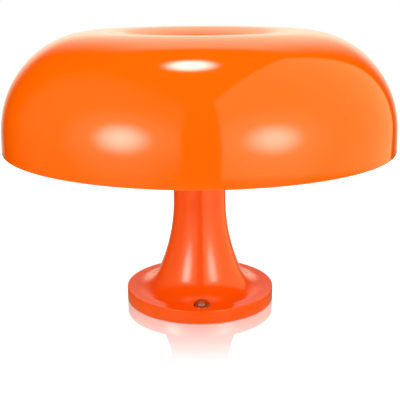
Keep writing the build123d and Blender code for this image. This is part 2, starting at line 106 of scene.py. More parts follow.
def add(tree, kind, inputs=None, **settings):
    """Adds a node with its settings, and gives its inputs their values or links."""
    node = tree.nodes.new("ShaderNode" + kind)
    for name, value in settings.items():
        setattr(node, name, value)
    for name, value in (inputs or {}).items():
        if isinstance(value, bpy.types.NodeSocket):
            tree.links.new(value, node.inputs[name])
        else:
            node.inputs[name].default_value = value
    return node


# %% [markdown]
# ## Studio
#
# A glossy lamp shows the studio around it. This one stands between two tall light walls, with a narrow dark
# gap left between them for the camera. The table's edge hides the foot of the right wall. A small bright
# panel hangs overhead, a pale one closes the back, and two soft rounds of light lie below for the
# underside. All of these are far away, so they are drawn into the world, as windows on the sphere of
# directions. Each window is a rectangle or an oval on a plane one unit away. Real light panels would have
# to be huge to stand as far off.
#
# The world shows itself in three ways. Reflections see the windows. The camera and clear plastic see plain
# white, which is the pale background. Matt surfaces get an even fill, a little brighter from above, with a
# share of the windows' light.

# %% Start the world with the direction of each ray
world = bpy.data.worlds.new("studio")
bpy.context.scene.world = world
world.use_nodes = True
sky = world.node_tree
sky.nodes.clear()
ray_direction = add(sky, "TexCoord").outputs["Generated"]


def window_axes(azimuth, elevation):
    """The forward, sideways and upward axes of a window. Azimuth 0 is the camera's side and 90 the right."""
    turn, rise = math.radians(azimuth), math.radians(elevation)
    level = Vector((math.sin(turn), -math.cos(turn), 0))
    sideways = Vector((math.cos(turn), math.sin(turn), 0))
    forward = level * math.cos(rise) + Vector((0, 0, math.sin(rise)))
    return forward, sideways, forward.cross(sideways)


# %% A patch of light on a plane
cut_blur = 0.04


def patch(tree, side, up, middle, half_size, soft, oval=False, left_fade=1.0, cut=None):
    """How much a place on a plane glows: 1 inside a rectangle or an oval, 0 outside.

    Its left edge may be softer. A cut is how far to one side it goes before it ends in a sharp upright edge.
    """
    offsets = []
    for place, centre, half in zip((side, up), middle, half_size):
        moved = add(tree, "Math", {0: place, 1: centre}, operation="SUBTRACT").outputs[0]
        offsets.append(add(tree, "Math", {0: moved, 1: half}, operation="DIVIDE").outputs[0])
    if oval:
        joined = add(tree, "CombineXYZ", {0: offsets[0], 1: offsets[1]}).outputs[0]
        reach = [add(tree, "VectorMath", {0: joined}, operation="LENGTH").outputs["Value"]]
    else:
        softer = {0: offsets[0], 1: -1 / left_fade, 2: 1 - 1 / left_fade}
        left = add(tree, "Math", softer, operation="MULTIPLY_ADD").outputs[0]
        reach = [
            add(tree, "Math", {0: offsets[0], 1: left}, operation="MAXIMUM").outputs[0],
            add(tree, "Math", {0: offsets[1]}, operation="ABSOLUTE").outputs[0],
        ]
    edges = [(distance, 1 + fade, 1 - fade) for distance, fade in zip(reach, soft)]
    if cut:
        edges.append((side, (1 + cut_blur) * cut, (1 - cut_blur) * cut))
    share = 1.0
    for distance, dark, lit in edges:
        edge = {"Value": distance, "From Min": dark, "From Max": lit}
        inside = add(tree, "MapRange", edge, interpolation_type="SMOOTHSTEP").outputs[0]
        share = add(tree, "Math", {0: share, 1: inside}, operation="MULTIPLY").outputs[0]
    return share


# %% A window in the sky
least_depth = 0.001


def window(azimuth, elevation, *shape, **kind):
    """How much of a ray goes through a window in the sky, on a plane one unit away."""
    forward, sideways, upward = window_axes(azimuth - camera_turn, elevation)
    ahead, side, up = [
        add(sky, "VectorMath", {0: ray_direction, 1: axis}, operation="DOT_PRODUCT").outputs["Value"]
        for axis in (forward, sideways, upward)
    ]
    depth = add(sky, "Math", {0: ahead, 1: least_depth}, operation="MAXIMUM").outputs[0]
    place = [add(sky, "Math", {0: along, 1: depth}, operation="DIVIDE").outputs[0] for along in (side, up)]
    in_front = add(sky, "Math", {0: ahead, 1: least_depth}, operation="GREATER_THAN").outputs[0]
    seen_patch = {0: patch(sky, *place, *shape, **kind), 1: in_front}
    return add(sky, "Math", seen_patch, operation="MULTIPLY").outputs[0]


# %% Hang the windows
ray_height = add(sky, "SeparateXYZ", {0: ray_direction}).outputs[2]
hidden_below, clear_above = -0.33, -0.25
table_edge = {"Value": ray_height, "From Min": hidden_below, "From Max": clear_above}
over_table = add(sky, "MapRange", table_edge, interpolation_type="SMOOTHSTEP").outputs[0]

left_wall = window(-64.0, 0, (0.14, 0.775), (1.26, 1.025), (0.067, 0.68), left_fade=10)
right_wall = window(75.6, 0, (0, 0.94), (2.03, 2.14), (0.06, 0.05))
right_wall = add(sky, "Math", {0: right_wall, 1: over_table}, operation="MULTIPLY").outputs[0]
overhead_panel = window(0, 90, (-0.049, 0.155), (0.12, 0.12), (0.55,), oval=True)
back_panel = window(180, 0, (0, 0), (0.55, 0.25), (0.4, 0.6))
wide_round = window(0, -90, (0, 0), (2.6, 2.6), (0.25,), oval=True)
small_round = window(0, -90, (0, 0), (1.2, 1.2), (0.4,), oval=True)

# %% Add the windows up
warm, cream, pale, bright = (1, 0.98, 0.42), (1, 0.98, 0.6), (1, 0.96, 0.74), (1, 1, 0.95)
windows = [
    (0.40, warm, left_wall),
    (0.90, warm, right_wall),
    (15.0, bright, overhead_panel),
    (1.0, pale, back_panel),
    (0.28, cream, wide_round),
    (0.4, cream, small_round),
]
studio_light = add(sky, "CombineXYZ").outputs[0]
for strength, colour, share in windows:
    tinted = {0: [strength * part for part in colour], "Scale": share}
    scaled = add(sky, "VectorMath", tinted, operation="SCALE").outputs[0]
    studio_light = add(sky, "VectorMath", {0: scaled, 1: studio_light}, operation="ADD").outputs[0]
print("windows in the studio:", len(windows))

# %% Light the world with their sum
fill_light, more_from_above, matt_share = 1.04, 0.17, 0.32
grey_weights = (0.3, 0.6, 0.1)

ray_kind = add(sky, "LightPath").outputs
plain = ray_kind["Is Camera Ray"]
for other in ("Is Transmission Ray", "Is Singular Ray"):
    plain = add(sky, "Math", {0: plain, 1: ray_kind[other]}, operation="MAXIMUM").outputs[0]
grey = add(sky, "VectorMath", {0: studio_light, 1: grey_weights}, operation="DOT_PRODUCT").outputs["Value"]
from_above = {0: ray_height, 1: more_from_above, 2: fill_light}
fill = add(sky, "Math", from_above, operation="MULTIPLY_ADD").outputs[0]
softened = add(sky, "Math", {0: grey, 1: matt_share, 2: fill}, operation="MULTIPLY_ADD").outputs[0]
matt_light = {0: ray_kind["Is Diffuse Ray"], 6: studio_light, 7: softened}
shown = add(sky, "Mix", matt_light, data_type="RGBA").outputs[2]
shown = add(sky, "Mix", {0: plain, 6: shown, 7: linear("#ffffff")}, data_type="RGBA").outputs[2]
light = add(sky, "Background", {"Color": shown, "Strength": 1.0})
add(sky, "OutputWorld", {"Surface": light.outputs[0]})
print("nodes in the world:", len(sky.nodes))

# %% [markdown]
# ## Two round lamps and a paper arch
#
# In front of each light wall stands a round cloth lamp, brightest in its middle. Its cloth is cut off at
# the wall's inner edge, so that the gap between the walls stays dark. Behind everything stands a white
# paper arch. These three are near, so their reflections sit at another height on the stem than on the
# shade, as a near thing's do, and the world can't show that. Each is a card that glows in patches and lets
# everything else through, and only reflections see it.

# %% A card that glows in patches
card_size = 4.0


def glowing_card(name, azimuth, away, height, patches):
    """An upright card that faces the lamp, with its distance and its middle's height in metres.

    Each patch has a strength, a colour, and a shape, in metres from the card's middle.
    """
    bpy.ops.object.select_all(action="DESELECT")
    bpy.ops.mesh.primitive_plane_add(size=card_size)
    card = bpy.context.object
    card.name = card.data.name = name
    forward, sideways, upward = window_axes(azimuth - camera_turn, 0)
    card.matrix_world = Matrix((sideways, upward, -forward)).transposed().to_4x4()
    card.location = forward * away + upward * height
    card.visible_camera = card.visible_diffuse = card.visible_transmission = card.visible_shadow = False
    cloth = bpy.data.materials.new(name + "_cloth")
    cloth.use_nodes = True
    card.data.materials.append(cloth)
    tree = cloth.node_tree
    tree.nodes.clear()
    place = add(tree, "SeparateXYZ", {0: add(tree, "TexCoord").outputs["Object"]}).outputs
    glow = add(tree, "BsdfTransparent").outputs[0]
    for strength, colour, shape in patches:
        share = patch(tree, place[0], place[1], **shape)
        level_here = add(tree, "Math", {0: share, 1: strength}, operation="MULTIPLY").outputs[0]
        light = add(tree, "Emission", {"Color": (*colour, 1), "Strength": level_here}).outputs[0]
        glow = add(tree, "AddShader", {0: glow, 1: light}).outputs[0]
    add(tree, "OutputMaterial", {"Surface": glow})


# %% Stand the lamps and the arch
card_away = 1.0
lamps = {
    "left_lamp": {"azimuth": -39.4, "height": 0.367, "glow": 1.4, "bulb": 7.5, "inner_edge": 0.587},
    "right_lamp": {"azimuth": 37.6, "height": 0.357, "glow": 1.2, "bulb": 6.0, "inner_edge": -0.502},
}
cloth = {"middle": (0, 0), "half_size": (0.44, 0.37), "soft": (1.0,), "oval": True}
bulb = {"middle": (0, 0), "half_size": (0.19, 0.165), "soft": (0.85,), "oval": True}
for name, lamp in lamps.items():
    cut_cloth = {**cloth, "cut": lamp["inner_edge"]}
    patches = [(lamp["glow"], cream, cut_cloth), (lamp["bulb"], bright, bulb)]
    glowing_card(name, lamp["azimuth"], card_away, lamp["height"], patches)

arch_height, arch_glow = 1.05, 1.25
arch = {"middle": (-0.05, 0), "half_size": (0.51, 0.60), "soft": (0.60, 0.40)}
glowing_card("paper_arch", 180, card_away, arch_height, [(arch_glow, pale, arch)])
print("glowing cards:", len(lamps) + 1, "at", card_away, "m from the lamp")

# %% [markdown]
# ## Floor
#
# The lamp stands on glossy white acrylic, which mirrors the flange and the stem for a hand's width and then
# fades into white. A flat ring is enough. It is open in the middle, where the foot covers it, so that light
# from below shows the underside when the lamp is looked at from there. Seen from below or in a reflection,
# the ring itself is clear, so the lamp's own surfaces mirror the studio and not the sheet.

# %% Make the floor
floor_hole_r, times_wider = 54.0, (4.0, 12.0)

bpy.ops.object.select_all(action="DESELECT")
bpy.ops.mesh.primitive_circle_add(vertices=128, radius=floor_hole_r * MM, fill_type="NOTHING")
floor = bpy.context.object
floor.name = "floor"
bpy.ops.object.mode_set(mode="EDIT")
bpy.ops.mesh.select_all(action="SELECT")
for spread in times_wider:
    bpy.ops.mesh.extrude_edges_move()
    bpy.ops.transform.resize(value=(spread, spread, 1), center_override=(0, 0, 0))
bpy.ops.mesh.select_all(action="SELECT")
bpy.ops.mesh.normals_make_consistent(inside=False)
bpy.ops.mesh.flip_normals()
bpy.ops.object.mode_set(mode="OBJECT")
print("floor radius in m:", round(floor.dimensions.x / 2, 2), "normal:", floor.data.polygons[0].normal.z)

# %% Give the floor its white and its fading mirror
mirror_share, full_mirror_r, no_mirror_r = 0.585, 62.0, 140.0
own_glow, white_to_the_eye, white_to_light = 0.78, 0.45, 0.9

acrylic = bpy.data.materials.new("white_acrylic_sheet")
acrylic.use_nodes = True
floor.data.materials.append(acrylic)
tree = acrylic.node_tree
tree.nodes.clear()
place = add(tree, "TexCoord").outputs["Object"]
away = add(tree, "VectorMath", {0: place}, operation="LENGTH").outputs["Value"]
fade = {"Value": away, "From Min": full_mirror_r * MM, "From Max": no_mirror_r * MM}
mirror = add(tree, "MapRange", {**fade, "To Min": mirror_share, "To Max": 0.0})
seen = add(tree, "LightPath").outputs
eyes = {0: seen["Is Camera Ray"], 1: seen["Is Transmission Ray"]}
looks = add(tree, "Math", eyes, operation="MAXIMUM").outputs[0]
glow = add(tree, "Math", {0: looks, 1: own_glow}, operation="MULTIPLY").outputs[0]
darker_to_the_eye = {0: looks, 1: white_to_the_eye - white_to_light, 2: white_to_light}
whiteness = add(tree, "Math", darker_to_the_eye, operation="MULTIPLY_ADD").outputs[0]
matt = add(tree, "BsdfDiffuse", {"Color": whiteness})
lit = add(tree, "Emission", {"Color": linear("#ffffff"), "Strength": glow})
white = add(tree, "AddShader", {0: matt.outputs[0], 1: lit.outputs[0]})
polish = add(tree, "BsdfGlossy", {"Color": linear("#ffffff"), "Roughness": 0.0})
top = add(tree, "MixShader", {0: mirror.outputs[0], 1: white.outputs[0], 2: polish.outputs[0]})
clear = add(tree, "BsdfTransparent")
below = add(tree, "NewGeometry").outputs["Backfacing"]
unseen = add(tree, "Math", {0: below, 1: seen["Is Glossy Ray"]}, operation="MAXIMUM").outputs[0]
both = add(tree, "MixShader", {0: unseen, 1: top.outputs[0], 2: clear.outputs[0]})
add(tree, "OutputMaterial", {"Surface": both.outputs[0]})
print("the floor's mirror fades from", full_mirror_r, "to", no_mirror_r, "mm")

# %% [markdown]
# ## A pen for turned pieces
#
# Almost every piece of this lamp is round, so each one starts as a line drawn in the XZ plane, like the
# half section on a lathe drawing. The pen starts with one point, is extruded along straight runs, and spins
# about a centre for an arc. Spun once round the lamp's axis, the line becomes the piece. A primitive
# cylinder would leave the curves out, and a Screw modifier would hide the drawing in a setting.


# %% The pen
merge_within = 1e-6


def start_line(name, x, z):
    """Starts a piece as one point of the XZ plane, in millimetres, and leaves it in edit mode."""
    bpy.ops.object.select_all(action="DESELECT")
    bpy.ops.mesh.primitive_plane_add(size=MM)
    piece = bpy.context.object
    piece.name = piece.data.name = name
    bpy.ops.object.mode_set(mode="EDIT")
    bpy.ops.mesh.select_all(action="SELECT")
    bpy.ops.mesh.merge(type="CENTER")
    bpy.ops.transform.translate(value=(x * MM, 0, z * MM))
    return piece


def line_end(piece):
    """Where the pen is: the one selected point."""
    mesh = bmesh.from_edit_mesh(piece.data)
    return next(point.co.copy() for point in mesh.verts if point.select)


def run_to(piece, *points):
    """Draws straight runs to points given in millimetres."""
    for x, z in points:
        step = Vector((x * MM, 0, z * MM)) - line_end(piece)
        bpy.ops.mesh.extrude_vertices_move(TRANSFORM_OT_translate={"value": step})


def arc_about(piece, centre, degrees, step=3.0):
    """Draws an arc about a centre in millimetres. A positive angle turns from +X towards +Z."""
    x, z = centre
    steps = max(3, round(abs(degrees) / step))
    bpy.ops.mesh.spin(steps=steps, angle=math.radians(degrees), center=(x * MM, 0, z * MM), axis=(0, 1, 0))


# %% The lathe
def turn_line(piece, steps=256):
    """Turns the line once round the Z axis, closes its seam and poles, and points the faces outwards."""
    bpy.ops.mesh.select_all(action="SELECT")
    bpy.ops.mesh.remove_doubles(threshold=merge_within)
    bpy.ops.mesh.spin(steps=steps, angle=math.tau, center=(0, 0, 0), axis=(0, 0, 1))
    bpy.ops.mesh.select_all(action="SELECT")
    bpy.ops.mesh.remove_doubles(threshold=merge_within)
    bpy.ops.mesh.normals_make_consistent(inside=False)
    bpy.ops.object.mode_set(mode="OBJECT")


# %% The file and the drill
def round_edges(piece, width, angle=35, segments=4):
    """Rounds every edge sharper than this angle, by this width in millimetres."""
    bevel = piece.modifiers.new("rounding", "BEVEL")
    bevel.width = width * MM
    bevel.segments = segments
    bevel.limit_method = "ANGLE"
    bevel.angle_limit = math.radians(angle)
    bpy.context.view_layer.objects.active = piece
    bpy.ops.object.modifier_apply(modifier=bevel.name)


def cut_out(piece, cutter):
    """Takes the cutter's shape out of the piece, and the cutter out of the scene."""
    boolean = piece.modifiers.new("cut", "BOOLEAN")
    boolean.object = cutter
    boolean.solver = "EXACT"
    bpy.context.view_layer.objects.active = piece
    bpy.ops.object.modifier_apply(modifier=boolean.name)
    bpy.data.objects.remove(cutter)


# %% Finish a piece
smooth_under = 30


def finish_piece(piece, body, slot, *nodes):
    """Smooths a piece, puts it on its body in place of its solids, and says how large it is."""
    bpy.ops.object.select_all(action="DESELECT")
    piece.select_set(True)
    bpy.context.view_layer.objects.active = piece
    bpy.ops.object.shade_smooth_by_angle(angle=math.radians(smooth_under))
    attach(piece, body)
    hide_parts(*nodes)
    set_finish(piece, slot)
    size = [round(value / MM, 2) for value in piece.dimensions]
    print(piece.name, "size in mm", size, "faces", len(piece.data.polygons))


# %% [markdown]
# ## Shade
#
# The shade is one moulding of even wall. Its line climbs a nearly upright skirt, goes over a wide shoulder,
# rolls over a tighter lip and falls into a dish, where a hub takes the post. All of these are straight runs
# and arcs that meet without a corner, so the line is drawn from their centres, once outside and once
# inside. A subdivided sphere would be quicker, but its reflections would wobble where the arcs meet.

# %% Sizes of the shade
wall = 2.8
rim_r, rim_z = 160.0, 135.3
crest_r, crest_z = 82.0, 227.5
skirt_angle, shoulder_arc = 1.8, 77.5
lip_arc, lip_angle = 16.0, 22.0
dish_arc, dish_angle, dish_floor_z = 22.0, 60.0, 201.5
hub_r, hub_seat_z, hub_foot_z, hub_bore_r, hub_socket_r = 13.0, 194.7, 192.7, 4.3, 10.3
shade_rounding = 0.9


def on_circle(centre, radius, degrees):
    """A point of the XZ plane on a circle, its angle taken from +X towards +Z."""
    turn = math.radians(degrees)
    return centre[0] + radius * math.cos(turn), centre[1] + radius * math.sin(turn)


# %% Centres of the shade's arcs
shoulder = (crest_r, crest_z - shoulder_arc)
crown_end = 90 + lip_angle
dive = 90 + dish_angle
lip_centre = on_circle(shoulder, shoulder_arc - lip_arc, crown_end)
lip_end = on_circle(lip_centre, lip_arc, dive)
fall = math.radians(dish_angle)
slope = (lip_end[1] - dish_floor_z - dish_arc * (1 - math.cos(fall))) / math.sin(fall)
dish_centre = on_circle(on_circle(lip_end, slope, dive + 90), dish_arc, dive)
print("lip about", [round(v, 1) for v in lip_centre], "dish about", [round(v, 1) for v in dish_centre])

# %% Draw and turn the shade
shade = start_line("shade_moulding", rim_r, rim_z)
run_to(shade, on_circle(shoulder, shoulder_arc, skirt_angle))
arc_about(shade, shoulder, crown_end - skirt_angle, step=2.0)
arc_about(shade, lip_centre, dive - crown_end)
run_to(shade, on_circle(dish_centre, dish_arc, dive - 180))
arc_about(shade, dish_centre, -dish_angle)
run_to(shade, (hub_bore_r, dish_floor_z), (hub_bore_r, hub_seat_z), (hub_socket_r, hub_seat_z))
run_to(shade, (hub_socket_r, hub_foot_z), (hub_r, hub_foot_z), (hub_r, dish_floor_z - wall))
run_to(shade, on_circle(dish_centre, dish_arc + wall, -90))
arc_about(shade, dish_centre, dish_angle)
run_to(shade, on_circle(lip_centre, lip_arc - wall, dive))
arc_about(shade, lip_centre, crown_end - dive)
arc_about(shade, shoulder, skirt_angle - crown_end, step=2.0)
lean = math.radians(skirt_angle)
inner_foot = rim_r - wall / math.cos(lean)
run_to(shade, (inner_foot, rim_z), (rim_r, rim_z))
turn_line(shade, steps=288)
round_edges(shade, shade_rounding)
finish_piece(shade, "shade", "shade_polycarbonate", "shade")

# %% [markdown]
# ## Stem and flange
#
# The base is the second moulding: a thin round flange that bends up into a trumpet and ends in a straight
# tube. Its line has two arcs that meet without a corner, a tight one at the foot and a long one up the
# flare. The place where they meet follows from their sizes, so it is worked out and not guessed. The inside
# is the same line, one wall further in.

# %% Sizes of the base
base_wall = 2.6
stem_r, stem_top_z, web_t = 22.0, 150.0, 3.2
flange_r, flange_z, base_foot_z = 63.0, 11.7, 0.4
flare_arc, flare_start_z, foot_arc = 155.0, 88.0, 24.0
post_hole_r, lead_hole_r, lead_hole_y = 5.3, 2.65, 14.5
flange_edge, base_rounding = 0.8, 0.25

# %% Where the base's two arcs meet
flare_centre = (stem_r + flare_arc, flare_start_z)
rise = flare_start_z - flange_z - foot_arc
foot_centre = (flare_centre[0] - math.sqrt((flare_arc - foot_arc) ** 2 - rise**2), flange_z + foot_arc)
flare_sweep = math.degrees(math.atan2(rise, flare_centre[0] - foot_centre[0]))
print("the foot bends in from radius", round(foot_centre[0], 1), "and the flare sweeps", round(flare_sweep))

# %% Draw and turn the base
base = start_line("base_moulding", flange_r, base_foot_z)
run_to(base, (flange_r, flange_z - flange_edge))
arc_about(base, (flange_r - flange_edge, flange_z - flange_edge), 90, step=15)
run_to(base, (foot_centre[0], flange_z))
arc_about(base, foot_centre, flare_sweep - 90)
arc_about(base, flare_centre, -flare_sweep, step=1.5)
run_to(base, (stem_r, stem_top_z), (post_hole_r, stem_top_z), (post_hole_r, stem_top_z - web_t))
run_to(base, (stem_r - base_wall, stem_top_z - web_t), (stem_r - base_wall, flare_start_z))
arc_about(base, flare_centre, flare_sweep, step=1.5)
arc_about(base, foot_centre, 90 - flare_sweep)
side = flange_r - base_wall
run_to(base, (side, flange_z - base_wall), (side, base_foot_z), (flange_r, base_foot_z))
turn_line(base)
round_edges(base, base_rounding, segments=3)

# %% [markdown]
# The button sits square to the surface, near the flange's edge, where the foot has begun to bend. Its seat
# leans by the angle of the arc there. The seat's axes are kept, because the button is made flat on the
# table and then put into them.

# %% Where the button and the holes are
button_at_r = 51.0
button_lean = math.asin((foot_centre[0] - button_at_r) / foot_arc)
seat_z = flange_z + foot_arc * (1 - math.cos(button_lean))
button_place = Matrix.Translation(Vector((0, -button_at_r, seat_z)) * MM)
button_seat = button_place @ Matrix.Rotation(button_lean, 4, "X")
button_hole_r = 6.5
socket_z, socket_window = 6.6, (9.54, 3.86)
light_pipe_x, light_pipe_r = 8.6, 1.05
print("the button leans", round(math.degrees(button_lean), 1), "degrees")


def round_bar(radius, length, place):
    """A bar to cut a hole with, laid along the Z axis of a place."""
    bpy.ops.object.select_all(action="DESELECT")
    bpy.ops.mesh.primitive_cylinder_add(vertices=96, radius=radius * MM, depth=length * MM)
    bar = bpy.context.object
    bar.data.transform(place)
    return bar


# %% Cut the round holes
button_cut, hole_cut, socket_cut = 14.0, 8.0, 10.0
facing_back = Matrix.Rotation(math.radians(90), 4, "X")
wire_place = Matrix.Translation(Vector((0, lead_hole_y, stem_top_z)) * MM)
pipe_place = Matrix.Translation(Vector((light_pipe_x, flange_r, socket_z)) * MM) @ facing_back
cut_out(base, round_bar(button_hole_r, button_cut, button_seat))
cut_out(base, round_bar(lead_hole_r, hole_cut, wire_place))
cut_out(base, round_bar(light_pipe_r, hole_cut, pipe_place))

# %% Cut the socket's window
half_run = (socket_window[0] - socket_window[1]) / 2
mouth = start_line("socket_cutter", -half_run, -socket_window[1] / 2)
run_to(mouth, (half_run, -socket_window[1] / 2))
arc_about(mouth, (half_run, 0), 180, step=10)
run_to(mouth, (-half_run, socket_window[1] / 2))
arc_about(mouth, (-half_run, 0), 180, step=10)
bpy.ops.mesh.select_all(action="SELECT")
bpy.ops.mesh.remove_doubles(threshold=merge_within)
bpy.ops.mesh.edge_face_add()
bpy.ops.transform.translate(value=Vector((0, flange_r - socket_cut / 2, socket_z)) * MM)
bpy.ops.mesh.extrude_region_move(TRANSFORM_OT_translate={"value": (0, socket_cut * MM, 0)})
bpy.ops.mesh.select_all(action="SELECT")
bpy.ops.mesh.normals_make_consistent(inside=False)
bpy.ops.object.mode_set(mode="OBJECT")
cut_out(base, mouth)
finish_piece(base, "base", "base_polycarbonate", "base_shell")

# %% [markdown]
# ## Push button
#
# The button is a small turned cap with a domed face, polished and chromed, over a flange that keeps it from
# falling out. The dome is an arc whose centre lies on the cap's own axis, so its two ends and its height
# give its radius. The eye sees a dark ring round it, so the cap is drawn a little smaller than its solid,
# and its hole a little wider.

# %% Draw, turn and seat the button
button_r, button_edge_z, button_top_z = 5.8, 0.3, 1.9
keeper_r, keeper_top_z, keeper_foot_z = 7.2, -2.9, -3.8
pin_r, pin_foot_z, button_rounding = 2.2, -4.1, 0.5
dome_sag = button_top_z - button_edge_z
dome_r = (button_r**2 + dome_sag**2) / (2 * dome_sag)
dome_angle = math.degrees(math.asin(button_r / dome_r))
print("the dome's radius in mm:", round(dome_r, 2))

button = start_line("button_dome", 0, pin_foot_z)
run_to(button, (pin_r, pin_foot_z), (pin_r, keeper_foot_z), (keeper_r, keeper_foot_z))
run_to(button, (keeper_r, keeper_top_z), (button_r, keeper_top_z), (button_r, button_edge_z))
arc_about(button, (0, button_top_z - dome_r), dome_angle, step=2.0)
turn_line(button, steps=96)
round_edges(button, button_rounding)
button.data.transform(button_seat)
finish_piece(button, "button", "chromed_zinc", "button_cap")

# %% [markdown]
# ## Hand knob
#
# The knob in the dish holds the shade down. It is a moulding with twelve finger flutes, so its body is
# turned first, and one bar is copied round it and cut out. Rounding comes last: it softens the flutes'
# edges and the rim in one go, as the mould's own small radii do.

# %% Turn the knob
knob_r, knob_foot_z, knob_top_z, knob_crown = 17.0, 202.7, 213.7, 0.7
relief_inner_r, relief_outer_r, relief_depth = 8.0, 13.0, 1.2
insert_hole_r, insert_top_z = 6.05, 211.3
crown_r = (knob_r**2 + knob_crown**2) / (2 * knob_crown)
crown_angle = math.degrees(math.asin(knob_r / crown_r))

knob = start_line("knob_moulding", 0, insert_top_z)
run_to(knob, (insert_hole_r, insert_top_z), (insert_hole_r, knob_foot_z), (relief_inner_r, knob_foot_z))
run_to(knob, (relief_inner_r, knob_foot_z + relief_depth), (relief_outer_r, knob_foot_z + relief_depth))
run_to(knob, (relief_outer_r, knob_foot_z), (knob_r, knob_foot_z), (knob_r, knob_top_z - knob_crown))
arc_about(knob, (0, knob_top_z - crown_r), crown_angle, step=0.5)
turn_line(knob, steps=192)

# %% Cut the flutes and round the edges
flutes, flute_r, flute_depth, flute_cut, knob_rounding = 12, 3.2, 1.3, 30.0, 1.0
flute_at = knob_r + flute_r - flute_depth
for number in range(flutes):
    x, y = on_circle((0, 0), flute_at, 360 * (number + 0.5) / flutes)
    cut_out(knob, round_bar(flute_r, flute_cut, Matrix.Translation(Vector((x, y, knob_top_z)) * MM)))
round_edges(knob, knob_rounding, angle=30, segments=5)
finish_piece(knob, "knob", "knob_polycarbonate", "knob")

# %% [markdown]
# ## Opal cover of the lights
#
# Under the shade, an opal drum hides the small lights. It is vacuum formed from a sheet of even thickness,
# so only its outer line is drawn and turned, and a Solidify modifier gives it its wall. That is also why
# its corners are drawn as arcs: a heated sheet can't make a sharp one. It stops just short of the post.

# %% Draw, turn and thicken the opal cover
cover_r, cover_foot_z, cover_top_z, cover_hole_r = 50.0, 152.0, 175.0, 10.9
cover_bend, cover_bend_z, cover_wall, cover_rounding = 4.0, 161.9, 2.0, 0.4
roof_angle, roof_drop = 13.8, 0.15

cover = start_line("opal_cover", cover_r, cover_foot_z)
run_to(cover, (cover_r, cover_bend_z))
arc_about(cover, (cover_r - cover_bend, cover_bend_z), 90 - roof_angle, step=8)
run_to(cover, (cover_hole_r, cover_top_z - roof_drop))
turn_line(cover)
solid = cover.modifiers.new("wall", "SOLIDIFY")
solid.thickness = cover_wall * MM
solid.offset = -1
solid.use_even_offset = True
bpy.ops.object.modifier_apply(modifier=solid.name)
round_edges(cover, cover_rounding, segments=2)
finish_piece(cover, "base", "opal_acrylic", "diffuser")

# %% [markdown]
# ## Screws under the foot
#
# Six countersunk screws close the foot. One is turned and gets its cross recess from two thin tapered bars,
# and the other five are copies of its mesh. Each is turned on from the last, because no one lines screws
# up.

# %% Turn one screw
screw_r, head_r, head_foot_z, head_top_z = 1.5, 2.9, 1.0, 2.6
screw_tip_z, tip_chamfer, screw_rounding = 9.0, 0.4, 0.08
slot_w, slot_l, slot_deep, slot_taper = 0.7, 3.2, 1.1, 0.3


def turned_screw(name):
    """A countersunk screw on the Z axis, head down, with a cross recess."""
    screw = start_line(name, 0, head_foot_z)
    run_to(screw, (head_r, head_foot_z), (screw_r, head_top_z), (screw_r, screw_tip_z - tip_chamfer))
    run_to(screw, (screw_r - tip_chamfer, screw_tip_z), (0, screw_tip_z))
    turn_line(screw, steps=48)
    round_edges(screw, screw_rounding, segments=2)
    for turn in (0, 90):
        bpy.ops.object.select_all(action="DESELECT")
        bpy.ops.mesh.primitive_cube_add(size=2 * MM)
        bar = bpy.context.object
        bpy.ops.object.mode_set(mode="EDIT")
        bpy.ops.mesh.select_all(action="SELECT")
        bpy.ops.transform.resize(value=(slot_l / 2, slot_w / 2, slot_deep), center_override=(0, 0, 0))
        bpy.ops.object.mode_set(mode="OBJECT")
        for point in bar.data.vertices:
            if point.co.z > 0:
                point.co.x *= slot_taper
        turned_bar = Matrix.Rotation(math.radians(turn), 4, "Z")
        bar.data.transform(Matrix.Translation((0, 0, head_foot_z * MM)) @ turned_bar)
        cut_out(screw, bar)
    return screw


# %% Put the six screws in their places
boss_circle, boss_turn, cradle_screw_x, next_turn = 40.0, 55.0, 12.0, 31
boss_turns = (boss_turn, 180 - boss_turn, 180 + boss_turn, -boss_turn)
screw_places = [on_circle((0, 0), boss_circle, turn) for turn in boss_turns]
screw_places += [(-cradle_screw_x, 0), (cradle_screw_x, 0)]

screws = [turned_screw("foot_screw_1")]
for number in range(2, len(screw_places) + 1):
    copy = screws[0].copy()
    copy.data = screws[0].data.copy()
    copy.name = copy.data.name = f"foot_screw_{number}"
    bpy.context.scene.collection.objects.link(copy)
    screws.append(copy)
for number, (screw, (x, y)) in enumerate(zip(screws, screw_places)):
    turn = Matrix.Rotation(math.radians(next_turn * number), 4, "Z")
    screw.data.transform(Matrix.Translation(Vector((x, y, 0)) * MM) @ turn)
    finish_piece(screw, "base", "zinc_plated_steel", "base_screws")

# %% [markdown]
# ## Finishes
#
# Every finish starts from what the real one is. A cloudy noise varies its colour a little, because no batch
# is quite even, and a finer noise varies its polish and lifts its surface by a few hundredths of a
# millimetre at most. Both take their size from a real length. The recipe below does that for all of them,
# and a finish that has more to show, such as lathe rings or a woven board, adds its own nodes. Numbers that
# are even all over, such as the IOR, are set straight on the shader.

# %% The recipe that all finishes share
finishes = {}


